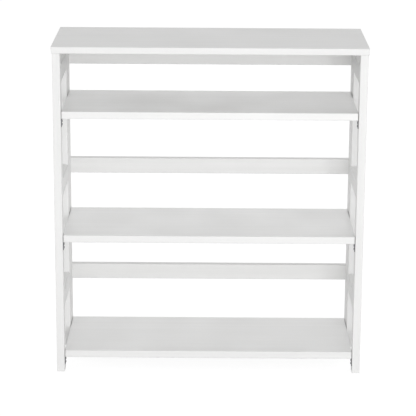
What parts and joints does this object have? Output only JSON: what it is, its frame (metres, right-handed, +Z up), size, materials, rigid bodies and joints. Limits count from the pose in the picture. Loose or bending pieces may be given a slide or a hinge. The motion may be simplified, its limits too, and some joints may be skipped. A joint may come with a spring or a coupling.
{
  "type": "folding bookcase",
  "caption": "Free-standing white folding bookcase: a top board and shelves between open post-and-rail sides, which are hinged to a ladder-like back frame.",
  "frame": {"origin": "on the floor, under the middle of the bookcase's outer box", "axes": "+X to the viewer's right, +Y from the front to the back, +Z up"},
  "size_m": [0.8, 0.3112, 0.864],
  "materials": {
    "white_paint": "satin white paint over solid wood",
    "zinc_steel": "zinc-plated steel",
    "dark_steel": "dark plated steel"
  },
  "bodies": {
    "back_frame": {"left_stile": "white_paint", "right_stile": "white_paint", "lower_back_rail": "white_paint", "middle_back_rail": "white_paint", "top_back_rail": "white_paint", "shelf_pivot_pins": "zinc_steel", "left_hinge_fixed_leaves": "zinc_steel", "left_hinge_pins": "zinc_steel", "right_hinge_fixed_leaves": "zinc_steel", "right_hinge_pins": "zinc_steel", "top_hinge_lower_leaves": "zinc_steel", "top_hinge_pins": "zinc_steel"},
    "left_side_frame": {"left_front_post": "white_paint", "left_back_post": "white_paint", "left_lower_side_rail": "white_paint", "left_middle_side_rail": "white_paint", "left_top_side_rail": "white_paint", "left_shelf_rests": "dark_steel", "left_hinge_moving_leaves": "zinc_steel"},
    "right_side_frame": {"right_front_post": "white_paint", "right_back_post": "white_paint", "right_lower_side_rail": "white_paint", "right_middle_side_rail": "white_paint", "right_top_side_rail": "white_paint", "right_shelf_rests": "dark_steel", "right_hinge_moving_leaves": "zinc_steel"},
    "top": {"top_board": "white_paint", "top_hinge_upper_leaves": "zinc_steel"},
    "lower_shelf_body": {"lower_shelf": "white_paint"},
    "middle_shelf_body": {"middle_shelf": "white_paint"},
    "upper_shelf_body": {"upper_shelf": "white_paint"}
  },
  "joints": [
    {"name": "left_side_swing", "type": "hinge", "parent": "back_frame", "child": "left_side_frame", "pos_m": [-0.3743, 0.0897, 0], "axis": [0, 0, -1], "range_deg": [0, 3]},
    {"name": "right_side_swing", "type": "hinge", "parent": "back_frame", "child": "right_side_frame", "pos_m": [0.3743, 0.0897, 0], "axis": [0, 0, 1], "range_deg": [0, 3]},
    {"name": "top_flip", "type": "hinge", "parent": "back_frame", "child": "top", "pos_m": [0, 0.1526, 0.847], "axis": [-1, 0, 0], "range_deg": [0, 90]},
    {"name": "upper_shelf_flip", "type": "hinge", "parent": "back_frame", "child": "upper_shelf_body", "pos_m": [0, 0.1209, 0.6875], "axis": [-1, 0, 0], "range_deg": [0, 90]},
    {"name": "middle_shelf_flip", "type": "hinge", "parent": "back_frame", "child": "middle_shelf_body", "pos_m": [0, 0.1209, 0.3615], "axis": [-1, 0, 0], "range_deg": [0, 90]},
    {"name": "lower_shelf_flip", "type": "hinge", "parent": "back_frame", "child": "lower_shelf_body", "pos_m": [0, 0.1209, 0.0475], "axis": [-1, 0, 0], "range_deg": [0, 90]}
  ],
  "couplings": [
    {"joint": "upper_shelf_flip", "follows": "top_flip", "ratio": 1}
  ]
}
